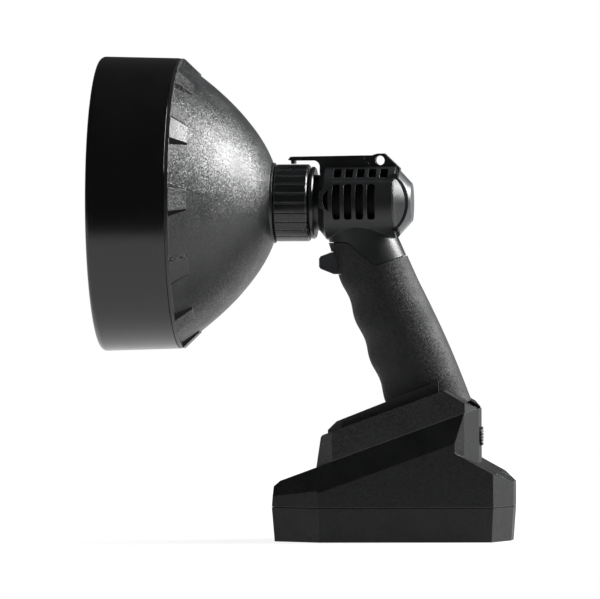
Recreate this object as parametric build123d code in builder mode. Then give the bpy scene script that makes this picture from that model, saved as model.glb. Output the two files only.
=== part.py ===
from build123d import *
import math
import os

os.makedirs("parts", exist_ok=True)

# Handheld searchlight, in millimetres.
# +Z is up, the lamp points along -X, and the origin is the middle of the battery's flat underside.

# Driving sizes of the whole lamp
head_axis_height = 206.0
rim_radius = 90.0
rim_front_x = -178.7
rim_cover_length = 48.0
bowl_end_x = -72.2
bowl_end_radius = 24.5
barrel_radius = 22.5
barrel_front_x = -44.6
rear_cap_end_x = 11.7
base_length = 147.0
base_width = 84.0
base_seam_height = 20.8
deck_height = 61.6
deck_angle = 19.8
focus_travel = 6.0
trigger_travel = 4.0
button_travel = 1.5

# Walls and fits shared by the pieces
wall = 2.5
running_gap = 0.08
clear_gap = 0.3
seam_gap = 0.5
overrun = 5.0
zone_width = 120.0

# Reference planes and axes
head_origin = (0, 0, head_axis_height)
head_axis = Axis(head_origin, (1, 0, 0))
head_plane = Plane(origin=head_origin, x_dir=(1, 0, 0), z_dir=(0, -1, 0))
deck_cos = math.cos(math.radians(deck_angle))
deck_sin = math.sin(math.radians(deck_angle))
deck_rise = math.tan(math.radians(deck_angle))
deck_plane = Plane(
    origin=(0, 0, deck_height),
    x_dir=(deck_cos, 0, deck_sin),
    z_dir=(-deck_sin, 0, deck_cos),
)


def cut(shape):
    """Take a shape away from the piece being built."""
    add(shape, mode=Mode.SUBTRACT)


def keep_within(shape):
    """Keep only what the piece being built shares with a shape."""
    add(shape, mode=Mode.INTERSECT)


def head_turn(shape, angle):
    """A copy of a shape turned about the lamp's own axis."""
    return shape.rotate(head_axis, angle)


def turned_ring(rear_x, front_x, outer_radius, inner_radius):
    """A plain ring or tube about the lamp's axis."""
    with BuildPart() as ring:
        with BuildSketch(head_plane):
            with Locations(((rear_x + front_x) / 2, (outer_radius + inner_radius) / 2)):
                Rectangle(abs(rear_x - front_x), outer_radius - inner_radius)
        revolve(axis=head_axis)
    return ring.part


def cross_plane(x, height=head_axis_height):
    """The upright plane across the lamp at a place along it, with its middle at a height."""
    return Plane(origin=(x, 0, height), x_dir=(0, 1, 0), z_dir=(1, 0, 0))


def side_zone(points, half_width=zone_width):
    """A prism across the lamp whose outline is drawn in side view."""
    with BuildPart() as zone:
        with BuildSketch(Plane.XZ):
            Polygon(*points, align=None)
        extrude(amount=half_width, both=True)
    return zone.part


def save(piece, name):
    """Label one finished piece and write it as its own file."""
    piece.part.label = name
    export_step(piece.part, f"parts/{name}.step")


# Lamp housing: the bowl, its neck tube, and the deep cylinder that the rim cover slides over
bowl_root_x = -78.5
bowl_root_share = 0.388
bowl_waist_x = -89.6
bowl_waist_share = 0.565
bowl_knee_x = -103.7
bowl_knee_share = 0.731
tab_rear_x = -118.4
tab_rear_share = 0.868
bowl_rim_drop = 1.5
cover_step = 2.9
flange_step = 1.3
flange_thickness = 2.0
neck_outer_radius = 19.3
neck_inner_radius = 17.1
oring_groove_x = -66.0
neck_overlap = 7.0
neck_rear_x = oring_groove_x + focus_travel + neck_overlap
lip_thickness = 1.5
cylinder_wall = 2.3
cylinder_front_x = -173.0
cover_rear_x = rim_front_x + rim_cover_length
flange_rear_x = cover_rear_x + clear_gap + flange_thickness
ledge_x = -162.0
ledge_width = 2.0
ledge_depth = 2.6
cylinder_radius = rim_radius - cover_step
cylinder_bore = cylinder_radius - cylinder_wall
flange_radius = cylinder_radius + flange_step
bowl_rim_radius = cylinder_radius - bowl_rim_drop
bowl_knee_radius = rim_radius * bowl_knee_share
bowl_waist_radius = rim_radius * bowl_waist_share
bowl_root_radius = rim_radius * bowl_root_share
tab_rear_radius = rim_radius * tab_rear_share
tab_count = 12
tab_first_angle = 27.8
tab_rim_half_width = 7.2
tab_rear_half_width = 5.7
tab_flank_slope = 0.9
tab_rear_step = 0.8
tab_root_depth = 6.0


def bowl_line(inset):
    """The bowl's curved outline from its neck end to its rim, moved inwards by an inset."""
    return Spline(
        (bowl_end_x - lip_thickness - inset, bowl_end_radius - inset / 2),
        (bowl_root_x - inset, bowl_root_radius - inset / 2),
        (bowl_waist_x - inset, bowl_waist_radius - inset / 2),
        (bowl_knee_x - inset * deck_cos, bowl_knee_radius - inset * deck_cos),
        (tab_rear_x - inset / 2, tab_rear_radius - inset),
        (flange_rear_x - inset / 2, bowl_rim_radius - inset),
    )


def tab_outline(top_half_width, top_radius, root_radius):
    """A tab's section: a narrow top and flanks that slope down into the bowl."""
    root_half_width = top_half_width + tab_flank_slope * (top_radius - root_radius)
    return Polygon(
        (-root_half_width, root_radius),
        (root_half_width, root_radius),
        (top_half_width, top_radius),
        (-top_half_width, top_radius),
        align=None,
    )


with BuildPart() as wedge_tab:
    with BuildSketch(cross_plane(flange_rear_x)):
        tab_outline(tab_rim_half_width, flange_radius, bowl_rim_radius - tab_root_depth)
    with BuildSketch(cross_plane(tab_rear_x)):
        tab_outline(tab_rear_half_width, tab_rear_radius + tab_rear_step, tab_rear_radius - tab_root_depth)
    loft(ruled=True)

with BuildPart() as bowl_inside:
    with BuildSketch(head_plane):
        with BuildLine():
            inner_line = bowl_line(wall)
            Polyline(
                inner_line @ 1,
                (flange_rear_x - wall, bowl_rim_radius - wall),
                (flange_rear_x - wall, 0),
                ((inner_line @ 0).X, 0),
                inner_line @ 0,
            )
        make_face()
    revolve(axis=head_axis)

with BuildPart() as lamp_housing:
    with BuildSketch(head_plane):
        with BuildLine():
            outer_line = bowl_line(0)
            Polyline(
                outer_line @ 1,
                (flange_rear_x, flange_radius),
                (flange_rear_x - flange_thickness, flange_radius),
                (flange_rear_x - flange_thickness, cylinder_radius),
                (cylinder_front_x, cylinder_radius),
                (cylinder_front_x, 0),
                (bowl_end_x, 0),
                (bowl_end_x, bowl_end_radius),
                outer_line @ 0,
            )
        make_face()
    revolve(axis=head_axis)
    for tab_number in range(tab_count):
        add(head_turn(wedge_tab.part, tab_first_angle + 360 * tab_number / tab_count))
    cut(bowl_inside.part)
    cut(turned_ring(flange_rear_x - wall + clear_gap, cylinder_front_x - overrun, cylinder_bore, 0))
    ledge_root_radius = cylinder_bore + cylinder_wall / 2
    add(turned_ring(ledge_x + ledge_width, ledge_x, ledge_root_radius, cylinder_bore - ledge_depth))
    cut(turned_ring(bowl_end_x - wall - overrun, bowl_end_x + overrun, neck_inner_radius, 0))
    add(turned_ring(bowl_end_x - wall, neck_rear_x, neck_outer_radius, neck_inner_radius))
save(lamp_housing, "lamp_housing")

# Reflector: a deep parabola, its focus at the bulb, with a flange on the housing's ledge
reflector_thickness = 0.9
reflector_hole_radius = 15.2
reflector_flange_radius = cylinder_bore - clear_gap
reflector_flange_thickness = 1.2
reflector_flange_width = 3.2
reflector_span_count = 10
reflector_vertex_x = bowl_end_x - wall - clear_gap
reflector_front_x = ledge_x - reflector_flange_thickness
reflector_mouth_radius = reflector_flange_radius - reflector_flange_width
focal_length = reflector_mouth_radius**2 / (4 * (reflector_vertex_x - reflector_front_x))


def parabola_points(grow):
    """Points along the reflector's section, from its rear hole to its mouth."""
    points = []
    radius_span = reflector_mouth_radius - reflector_hole_radius
    for span in range(reflector_span_count + 1):
        radius = reflector_hole_radius + radius_span * span / reflector_span_count
        points.append((reflector_vertex_x - radius**2 / (4 * focal_length) + grow, radius))
    return points


with BuildPart() as reflector:
    with BuildSketch(head_plane):
        with BuildLine():
            mirror_line = Spline(*parabola_points(0))
            back_line = Spline(*parabola_points(reflector_thickness))
            Line(mirror_line @ 0, back_line @ 0)
            Line(mirror_line @ 1, back_line @ 1)
        make_face()
    revolve(axis=head_axis)
    flange_bore = reflector_mouth_radius - clear_gap
    add(turned_ring(ledge_x, reflector_front_x, reflector_flange_radius, flange_bore))
save(reflector, "reflector")

# Lens stack in front of the reflector: rubber seal, lens, and the ring that clamps them
seal_thickness = 2.0
seal_width = 4.0
lens_thickness = 3.0
clamp_width = 5.0
lens_radius = reflector_flange_radius
seal_front_x = reflector_front_x - seal_thickness
lens_front_x = seal_front_x - lens_thickness

with BuildPart() as lens_seal:
    add(turned_ring(reflector_front_x, seal_front_x, lens_radius, lens_radius - seal_width))
save(lens_seal, "lens_seal")

with BuildPart() as front_lens:
    add(turned_ring(seal_front_x, lens_front_x, lens_radius, 0))
save(front_lens, "front_lens")

with BuildPart() as lens_clamp_ring:
    add(turned_ring(lens_front_x, cylinder_front_x, lens_radius, lens_radius - clamp_width))
save(lens_clamp_ring, "lens_clamp_ring")

# Rim cover: a deep push-on cover with a rounded front edge, and the clear pane that it carries
cover_taper = 1.3
cover_rear_radius = rim_radius - cover_taper
cover_edge_radius = 3.0
cover_bore = cylinder_radius + clear_gap
cover_lip_width = 9.0
cover_mouth_radius = rim_radius - cover_lip_width
cover_lip_thickness = 2.6
pane_thickness = 2.4
pane_radius = cover_bore - clear_gap
pane_rear_x = rim_front_x + cover_lip_thickness + pane_thickness

with BuildPart() as rim_cover:
    with BuildSketch(head_plane):
        with BuildLine():
            Polyline(
                (rim_front_x, cover_mouth_radius),
                (rim_front_x, rim_radius),
                (cover_rear_x, cover_rear_radius),
                (cover_rear_x, cover_bore),
                (rim_front_x + cover_lip_thickness, cover_bore),
                (rim_front_x + cover_lip_thickness, cover_mouth_radius),
                close=True,
            )
        make_face()
        fillet(vertices().sort_by(Axis.Y)[-1], radius=cover_edge_radius)
    revolve(axis=head_axis)
save(rim_cover, "rim_cover")

with BuildPart() as cover_pane:
    add(turned_ring(rim_front_x + cover_lip_thickness, pane_rear_x, pane_radius, 0))
save(cover_pane, "cover_pane")

# Neck sleeve: the fixed tube that the lamp's neck slides on, and the ring seal in its groove
sleeve_outer_radius = neck_inner_radius - running_gap
sleeve_inner_radius = 15.0
sleeve_front_x = -73.0
sleeve_rear_x = -30.0
oring_width = 2.0
oring_depth = 1.2
oring_front_x = oring_groove_x - oring_width
oring_inner_radius = sleeve_outer_radius - oring_depth

with BuildPart() as neck_sleeve:
    add(turned_ring(sleeve_front_x, sleeve_rear_x, sleeve_outer_radius, sleeve_inner_radius))
    cut(turned_ring(oring_groove_x, oring_front_x, sleeve_outer_radius + overrun, oring_inner_radius))
save(neck_sleeve, "neck_sleeve")

with BuildPart() as neck_oring:
    add(turned_ring(oring_groove_x, oring_front_x, sleeve_outer_radius, oring_inner_radius))
    fillet(edges().filter_by(GeomType.CIRCLE), radius=oring_depth / 4)
save(neck_oring, "neck_oring")

# Focus collar: a ring of broad ribs with narrow V grooves between them, and scalloped ends
collar_radius = 23.5
collar_front_x = -71.5
collar_rear_x = -51.0
collar_bore = neck_outer_radius + running_gap
collar_groove_count = 24
collar_groove_depth = 0.9
collar_groove_half_width = 0.75
collar_edge_bevel = 0.7

with BuildPart() as collar_groove:
    with BuildSketch(cross_plane(collar_front_x - overrun)):
        Polygon(
            (0, collar_radius - collar_groove_depth),
            (collar_groove_half_width, collar_radius + collar_groove_depth / 2),
            (-collar_groove_half_width, collar_radius + collar_groove_depth / 2),
            align=None,
        )
    extrude(amount=collar_rear_x - collar_front_x + 2 * overrun)

with BuildPart() as focus_collar:
    with BuildSketch(head_plane):
        with Locations(((collar_front_x + collar_rear_x) / 2, (collar_radius + collar_bore) / 2)):
            Rectangle(collar_rear_x - collar_front_x, collar_radius - collar_bore)
        chamfer(vertices().group_by(Axis.Y)[-1], length=collar_edge_bevel)
    revolve(axis=head_axis)
    for groove_number in range(collar_groove_count):
        cut(head_turn(collar_groove.part, 360 * groove_number / collar_groove_count))
save(focus_collar, "focus_collar")

# Collar ring: the plain stop ring behind the collar, fixed on the sleeve
stop_ring_front_x = -50.2
stop_ring_rear_x = -47.3
stop_ring_radius = 22.0
stop_ring_bevel = 0.8

with BuildPart() as collar_stop_ring:
    with BuildSketch(head_plane):
        stop_ring_middle_x = (stop_ring_front_x + stop_ring_rear_x) / 2
        with Locations((stop_ring_middle_x, (stop_ring_radius + sleeve_outer_radius) / 2)):
            Rectangle(stop_ring_rear_x - stop_ring_front_x, stop_ring_radius - sleeve_outer_radius)
        chamfer(vertices().group_by(Axis.Y)[-1], length=stop_ring_bevel)
    revolve(axis=head_axis)
save(collar_stop_ring, "collar_stop_ring")

# Bulb tube: carries the bulb in the middle of the sleeve, with a flange against the sleeve's rear end
tube_outer_radius = sleeve_inner_radius - clear_gap
tube_inner_radius = 13.0
tube_front_x = -76.0
tube_rear_x = -20.0
tube_flange_thickness = 2.0
tube_floor_thickness = 2.0
bulb_base_radius = 7.0
bulb_base_length = 12.0
bulb_glass_radius = 5.5
filament_x = reflector_vertex_x - focal_length
bulb_glass_tail = 9.0
bulb_glass_nose = 9.0
filament_radius = 1.0
filament_length = 6.0
filament_leg_radius = 0.5
bulb_wall = 1.0
bulb_rear_x = filament_x + bulb_glass_tail
tube_floor_x = tube_front_x + tube_floor_thickness

with BuildPart() as bulb_tube:
    add(turned_ring(tube_front_x, tube_rear_x, tube_outer_radius, tube_inner_radius))
    add(turned_ring(tube_floor_x, tube_front_x, tube_outer_radius, bulb_base_radius + clear_gap))
    tube_flange_rear_x = sleeve_rear_x + tube_flange_thickness
    add(turned_ring(tube_flange_rear_x, sleeve_rear_x, sleeve_outer_radius, tube_inner_radius))
save(bulb_tube, "bulb_tube")

with BuildPart() as bulb_base:
    add(turned_ring(tube_floor_x, bulb_rear_x, bulb_base_radius, 0))
    add(turned_ring(tube_front_x + bulb_base_length, tube_floor_x, tube_inner_radius - clear_gap, 0))
save(bulb_base, "bulb_base")

with BuildPart() as bulb_glass:
    with BuildSketch(head_plane):
        with BuildLine():
            Polyline(
                (filament_x - bulb_glass_nose + bulb_wall, 0),
                (filament_x - bulb_glass_nose, 0),
            )
            RadiusArc(
                (filament_x - bulb_glass_nose, 0),
                (filament_x - bulb_glass_nose + bulb_glass_radius, bulb_glass_radius),
                bulb_glass_radius,
            )
            Polyline(
                (filament_x - bulb_glass_nose + bulb_glass_radius, bulb_glass_radius),
                (bulb_rear_x, bulb_glass_radius),
                (bulb_rear_x, bulb_glass_radius - bulb_wall),
                (filament_x - bulb_glass_nose + bulb_glass_radius, bulb_glass_radius - bulb_wall),
            )
            RadiusArc(
                (filament_x - bulb_glass_nose + bulb_glass_radius, bulb_glass_radius - bulb_wall),
                (filament_x - bulb_glass_nose + bulb_wall, 0),
                -(bulb_glass_radius - bulb_wall),
            )
        make_face()
    revolve(axis=head_axis)
save(bulb_glass, "bulb_glass")

with BuildPart() as bulb_filament:
    add(turned_ring(filament_x - filament_length / 2, filament_x + filament_length / 2, filament_radius, 0))
    add(turned_ring(filament_x, bulb_rear_x, filament_leg_radius, 0))
save(bulb_filament, "bulb_filament")

# Body form: barrel, side pads and handle, drawn as solids that the shells and the grip are cut from
barrel_wall = 2.4
barrel_nose_radius = 17.4
barrel_nose_length = 4.0
barrel_rear_x = 2.0
cap_shoulder_x = 3.6
cap_shoulder_radius = 20.4
cap_bevel_x = 10.2
cap_bevel_radius = 13.2
cap_face_radius = 11.6
pad_rise = 2.0
pad_middle = 0.7
pad_rear_x = 1.5
pad_half_height = 12.3
pad_nose_x = -43.0
pad_nose_top_x = -35.0
pad_nose_bottom_x = -27.0
pad_chin_x = -38.5
grip_top_height = 194.3
throat_height = 159.3
grip_foot_height = 85.3
grip_bottom_height = 72.0
grip_front_x = -33.0
throat_rake = 0.30
grip_front_rake = 0.369
grip_back_x = 14.7
grip_back_rake = 0.44
palm_swell = 1.4
finger_groove_count = 3
finger_groove_depth = 1.6
grip_half_width = 17.5
grip_swell_width = 1.5
section_count = 20
sleeve_thickness = 3.0
handle_wall = 2.4
throat_inset = 0.6
cap_arc_x = -13.5
cap_arc_radius = 22.0
cap_arc_half_height = 15.0
cap_seal_width = 1.8


def grip_front(height):
    """Front edge of the handle: a throat, then a raked line with three finger grooves."""
    if height > throat_height:
        return grip_front_x - throat_rake * (height - throat_height)
    along = min((throat_height - height) / (throat_height - grip_foot_height), 1)
    groove = finger_groove_depth * math.sin(math.pi * finger_groove_count * along) ** 2
    return grip_front_x + grip_front_rake * (throat_height - height) + groove


def grip_back(height):
    """Back edge of the handle, swelling a little into the palm."""
    along = min(max((throat_height - height) / (throat_height - grip_foot_height), 0), 1)
    return grip_back_x + grip_back_rake * (throat_height - height) + palm_swell * math.sin(math.pi * along)


def handle_form(inset):
    """The handle as a loft through level ellipses, drawn in by an inset all round."""
    with BuildPart() as form:
        for section in range(section_count + 1):
            height = grip_top_height + (grip_bottom_height - grip_top_height) * section / section_count
            along = min(max((throat_height - height) / (throat_height - grip_foot_height), 0), 1)
            half_depth = (grip_back(height) - grip_front(height)) / 2
            half_width = grip_half_width + grip_swell_width * math.sin(math.pi * along)
            with BuildSketch(Plane.XY.offset(height)):
                with Locations(((grip_back(height) + grip_front(height)) / 2, 0)):
                    Ellipse(half_depth - inset, half_width - inset)
        loft()
    return form.part


def barrel_form(inset):
    """Form of the barrel and the rear cap together, drawn in by an inset, turned about the lamp's axis."""
    with BuildPart() as form:
        with BuildSketch(head_plane):
            Polygon(
                (barrel_front_x + inset, 0),
                (barrel_front_x + inset, barrel_nose_radius - inset / 2),
                (barrel_front_x + barrel_nose_length, barrel_radius - inset),
                (barrel_rear_x, barrel_radius - inset),
                (cap_shoulder_x - inset / 2, cap_shoulder_radius - inset / 2),
                (cap_bevel_x - inset, cap_bevel_radius - inset / 2),
                (rear_cap_end_x - inset, cap_face_radius - inset / 2),
                (rear_cap_end_x - inset, 0),
                align=None,
            )
        revolve(axis=head_axis)
    return form.part


def pad_form():
    """Raised side pads: a slightly larger drum, kept only inside the pad's outline."""
    with BuildPart() as outline:
        with BuildSketch(head_plane):
            Polygon(
                (pad_rear_x, pad_middle + pad_half_height),
                (pad_nose_top_x, pad_middle + pad_half_height),
                (pad_nose_x, pad_middle + pad_half_height / 2),
                (pad_nose_x, pad_middle - pad_half_height / 4),
                (pad_chin_x, pad_middle - pad_half_height / 2),
                (pad_nose_bottom_x, pad_middle - pad_half_height),
                (pad_rear_x, pad_middle - pad_half_height),
                align=None,
            )
        extrude(amount=zone_width, both=True)
    with BuildPart() as pads:
        pad_root_radius = barrel_radius - barrel_wall
        add(turned_ring(barrel_rear_x, barrel_front_x, barrel_radius + pad_rise, pad_root_radius))
        keep_within(outline.part)
    return pads.part


def cap_front_zone(grow):
    """Everything in front of the curved joint between the barrel and the rear cap."""
    corner_x = cap_arc_x + math.sqrt(cap_arc_radius**2 - cap_arc_half_height**2) + grow
    with BuildPart() as zone:
        with BuildSketch(head_plane):
            with BuildLine():
                ThreePointArc(
                    (corner_x, -cap_arc_half_height),
                    (cap_arc_x + cap_arc_radius + grow, 0),
                    (corner_x, cap_arc_half_height),
                )
                Polyline(
                    (corner_x, cap_arc_half_height),
                    (corner_x, zone_width),
                    (-zone_width, zone_width),
                    (-zone_width, -zone_width),
                    (corner_x, -zone_width),
                    (corner_x, -cap_arc_half_height),
                )
            make_face()
        extrude(amount=zone_width, both=True)
    return zone.part


outer_handle = handle_form(0)
core_handle = handle_form(sleeve_thickness + running_gap)
throat_handle = handle_form(throat_inset)
hollow_handle = handle_form(sleeve_thickness + running_gap + handle_wall)
barrel_body = barrel_form(0)
barrel_hollow = barrel_form(barrel_wall)

# Foot outlines in side view, shared by the shoe, its upper tier and the lower end of the handle
shoe_rise = 18.3
shoe_front_x = -45.6
shoe_front_top_x = -42.2
shoe_bevel_x = -38.6
shoe_crest_x = 33.4
shoe_rear_x = 51.6
shoe_rear_rise = 0.9
tier_front_rise = 2.0
tier_bevel_x = -33.0
tier_bevel_rise = 5.3
tier_rear_x = 29.0
tier_rear_rise = 7.2
rail_height = 5.0
contact_thickness = 0.6
channel_height = rail_height + contact_thickness + clear_gap + contact_thickness


def deck_top(x):
    """Height of the sliding deck at a place along the lamp."""
    return deck_height + deck_rise * x


shoe_top_line = [
    (shoe_bevel_x, deck_top(shoe_bevel_x) + shoe_rise),
    (shoe_crest_x, deck_top(shoe_crest_x) + shoe_rise),
    (shoe_rear_x, deck_top(shoe_rear_x) + shoe_rear_rise),
]
tier_line = [
    (shoe_bevel_x, deck_top(shoe_bevel_x) + shoe_rise),
    (shoe_bevel_x, deck_top(shoe_bevel_x) + shoe_rise + tier_front_rise),
    (tier_bevel_x, deck_top(tier_bevel_x) + shoe_rise + tier_bevel_rise),
    (tier_rear_x, deck_top(tier_rear_x) + shoe_rise + tier_rear_rise),
    (tier_rear_x, deck_top(tier_rear_x) + shoe_rise),
]


rear_fall = (shoe_top_line[2][1] - shoe_top_line[1][1]) / (shoe_rear_x - shoe_crest_x)
channel_cover = (channel_height + clear_gap) / deck_cos
channel_exit_x = shoe_crest_x + (shoe_rise - channel_cover) / (deck_rise - rear_fall)


def above_foot(lift):
    """Everything above the shoe, its upper tier and the battery's way out, lifted by a height."""
    foot_line = [
        (-zone_width, tier_line[1][1]),
        tier_line[1],
        tier_line[2],
        tier_line[3],
        tier_line[4],
        shoe_top_line[1],
        (channel_exit_x, deck_top(channel_exit_x) + channel_cover),
        (zone_width, deck_top(zone_width) + channel_cover),
    ]
    outline = [(x, height + lift) for x, height in foot_line]
    outline.append((zone_width, head_axis_height + zone_width))
    outline.append((-zone_width, head_axis_height + zone_width))
    return side_zone(outline)


# Seam in side view where the rubber grip ends and the hard shell begins
seam_front_height = 181.5
seam_bend_x = -27.0
seam_low_x = -9.6
seam_low_height = 167.5
seam_rear_x = 8.0
seam_rear_height = 173.5
seam_slope = (seam_rear_height - seam_low_height) / (seam_rear_x - seam_low_x)


def above_seam(gap):
    """Everything above the grip's seam, lifted by a gap."""
    return side_zone(
        [
            (-zone_width, seam_front_height + gap),
            (seam_bend_x, seam_front_height + gap),
            (seam_low_x, seam_low_height + gap),
            (zone_width, seam_low_height + seam_slope * (zone_width - seam_low_x) + gap),
            (zone_width, head_axis_height + 2 * zone_width),
            (-zone_width, head_axis_height + 2 * zone_width),
        ]
    )


# Trigger window through the grip and the shell
trigger_half_width = 7.0
trigger_drop = 30.1
trigger_body_height = 13.4
trigger_top_height = head_axis_height - trigger_drop
trigger_bottom_height = trigger_top_height - trigger_body_height
trigger_middle = (trigger_top_height + trigger_bottom_height) / 2
window_depth = 20.0
trigger_front_x = -45.0
trigger_window = side_zone(
    [
        (trigger_front_x - overrun, trigger_bottom_height - clear_gap),
        (trigger_front_x + window_depth, trigger_bottom_height - clear_gap),
        (trigger_front_x + window_depth, trigger_top_height + clear_gap),
        (trigger_front_x - overrun, trigger_top_height + clear_gap),
    ],
    trigger_half_width + clear_gap,
)

# Body shells: barrel, throat and handle core moulded in two halves that meet on the middle plane
vent_count = 4
vent_pitch = 7.1
vent_width = 4.7
vent_first_x = -32.8
vent_half_height = 10.8
vent_corner_radius = 1.6
crescent_x = -39.4
crescent_width = 3.4
crescent_top = 8.4
crescent_bottom = -4.8
upper_vent_low = 15.4
upper_vent_high = 20.6
upper_vent_inner_y = 6.0
vent_web_half_thickness = 1.2
liner_front_x = -41.0
liner_rear_x = -8.0
liner_thickness = 1.2
liner_inner_radius = sleeve_outer_radius + running_gap
liner_outer_radius = liner_inner_radius + liner_thickness
shell_screw_radius = 1.5
boss_radius = 3.4

with BuildPart() as vents:
    with BuildSketch(head_plane):
        for vent_number in range(vent_count):
            with Locations((vent_first_x + vent_pitch * vent_number, pad_middle)):
                RectangleRounded(vent_width, 2 * vent_half_height, vent_corner_radius)
        crescent_rear_x = crescent_x + crescent_width / 2
        with BuildLine():
            ThreePointArc(
                (crescent_rear_x, crescent_top),
                (crescent_x - crescent_width / 2, (crescent_top + crescent_bottom) / 2),
                (crescent_rear_x, crescent_bottom),
            )
            Line((crescent_rear_x, crescent_bottom), (crescent_rear_x, crescent_top))
        make_face()
    extrude(amount=zone_width, both=True)

with BuildPart() as upper_vents:
    for vent_number in range(vent_count + 1):
        vent_x = vent_first_x + vent_pitch * vent_number
        for side in (-1, 1):
            with Locations((vent_x, side * upper_vent_inner_y, head_axis_height + upper_vent_low)):
                Box(
                    vent_width,
                    zone_width,
                    upper_vent_high - upper_vent_low,
                    align=(Align.CENTER, Align.MIN if side > 0 else Align.MAX, Align.MIN),
                )

with BuildPart() as vent_web:
    with BuildSketch(head_plane):
        web_low = liner_outer_radius + clear_gap
        web_high = barrel_radius - barrel_wall / 2
        with Locations(((liner_front_x + liner_rear_x) / 2, (web_low + web_high) / 2)):
            Rectangle(liner_rear_x - liner_front_x, web_high - web_low)
    extrude(amount=vent_web_half_thickness, both=True)

core_reach = sleeve_thickness + handle_wall + boss_radius
throat_screw_height = trigger_top_height + 2 * clear_gap + boss_radius
middle_screw_height = (throat_height + grip_foot_height) / 2
low_screw_rise = 20.4
low_screw_height = grip_foot_height + low_screw_rise
screw_places = [
    (grip_front(throat_screw_height) + core_reach, throat_screw_height),
    (grip_back(throat_height) - core_reach, throat_height),
    (grip_front(middle_screw_height) + core_reach, middle_screw_height),
    (grip_back(low_screw_height) - core_reach, low_screw_height),
]
shell_screw_half_length = 8.0
switch_pin_x = -8.0
switch_pin_place = (switch_pin_x, trigger_middle)
switch_pin_radius = 1.8
foot_plug_height = 12.0
wire_hole_u = 15.0
wire_hole_radius = 6.0
shoe_screw_front_u = 27.0
shoe_screw_rear_u = 42.0
shoe_screw_v = 7.0
shoe_screw_places = []
for screw_u in (shoe_screw_front_u, shoe_screw_rear_u):
    for side in (-1, 1):
        shoe_screw_places.append((screw_u, side * shoe_screw_v))
shoe_screw_radius = 1.5
shoe_screw_reach = 28.0


def cross_pins(places, radius, half_width):
    """Round pins across the lamp at places given in side view."""
    with BuildPart() as pins:
        with BuildSketch(Plane.XZ):
            with Locations(*places):
                Circle(radius)
        extrude(amount=half_width, both=True)
    return pins.part


with BuildPart() as throat:
    add(throat_handle)
    keep_within(above_seam(seam_gap))

with BuildPart() as core:
    add(core_handle)
    keep_within(above_foot(0))

with BuildPart() as core_hollow:
    add(hollow_handle)
    keep_within(above_foot(foot_plug_height))

with BuildPart() as wire_hole:
    with BuildSketch(deck_plane):
        with Locations((wire_hole_u, 0)):
            Circle(wire_hole_radius)
    extrude(amount=zone_width / 2)

with BuildPart() as shoe_screw_holes:
    with BuildSketch(deck_plane):
        with Locations(*shoe_screw_places):
            Circle(shoe_screw_radius)
    extrude(amount=shoe_screw_reach + clear_gap)

with BuildPart() as screw_bosses:
    add(cross_pins(screw_places, boss_radius, zone_width))
    add(cross_pins([switch_pin_place], switch_pin_radius, zone_width))
    keep_within(core_handle)

with BuildPart() as body_shell:
    add(barrel_body)
    keep_within(cap_front_zone(0))
    add(pad_form())
    add(throat.part)
    add(core.part)
    cut(barrel_hollow)
    cut(turned_ring(barrel_front_x - overrun, barrel_front_x + overrun, sleeve_outer_radius, 0))
    cut(core_hollow.part)
    cut(wire_hole.part)
    cut(vents.part)
    cut(upper_vents.part)
    cut(trigger_window)
    add(vent_web.part)
    add(screw_bosses.part)
    cut(cross_pins(screw_places, shell_screw_radius, shell_screw_half_length + clear_gap))
    cut(shoe_screw_holes.part)

with BuildPart() as body_shell_near:
    add(body_shell.part)
    split(bisect_by=Plane.XZ, keep=Keep.TOP)
save(body_shell_near, "body_shell_near")

with BuildPart() as body_shell_far:
    add(body_shell.part)
    split(bisect_by=Plane.XZ, keep=Keep.BOTTOM)
save(body_shell_far, "body_shell_far")

# Shell screws: equal screws across the handle, buried in the bosses of both shells
with BuildPart() as shell_screws:
    add(cross_pins(screw_places, shell_screw_radius - running_gap, shell_screw_half_length))
save(shell_screws, "shell_screws")

# Rubber grip: a moulded sleeve over the handle core, with finger grooves in front
with BuildPart() as grip_sleeve:
    add(outer_handle)
    keep_within(above_foot(0))
    cut(above_seam(0))
    cut(handle_form(sleeve_thickness))
    cut(trigger_window)
save(grip_sleeve, "grip_sleeve")

# Top spine, front half: a bracket on the barrel whose thin arm reaches over the focus collar
spine_half_width = 5.5
arm_tip_x = -63.9
arm_top_x = -62.4
arm_top_height = 28.2
arm_thickness = 2.4
arm_tip_drop = 1.9
nub_front_x = -62.0
nub_rear_x = -59.8
arm_slot_rear_x = -49.0
spine_front_x = -44.5
spine_slot_drop = 4.4
spine_joint_x = -18.6
spine_joint_lean = 4.9
spine_joint_drop = 5.3
spine_rise = 0.6
arm_underside = arm_top_height - arm_thickness
nub_height = collar_radius + clear_gap

with BuildPart() as detent_arm:
    with BuildSketch(head_plane):
        with BuildLine():
            ThreePointArc(
                (arm_slot_rear_x, arm_underside),
                (spine_front_x - spine_slot_drop / 4, arm_underside - spine_slot_drop / 4),
                (spine_front_x, arm_underside - spine_slot_drop),
            )
            Polyline(
                (spine_front_x, arm_underside - spine_slot_drop),
                (spine_front_x, barrel_nose_radius),
                (spine_joint_x + spine_joint_lean, barrel_nose_radius),
                (spine_joint_x + spine_joint_lean, arm_top_height - spine_joint_drop),
                (spine_joint_x, arm_top_height + spine_rise),
                (arm_top_x, arm_top_height),
                (arm_tip_x, arm_top_height - arm_tip_drop),
                (nub_front_x, arm_underside),
                (nub_front_x, nub_height),
                (nub_rear_x, nub_height),
                (nub_rear_x, arm_underside),
                (arm_slot_rear_x, arm_underside),
            )
        make_face()
    extrude(amount=spine_half_width, both=True)
    cut(barrel_body)
save(detent_arm, "detent_arm")

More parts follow.
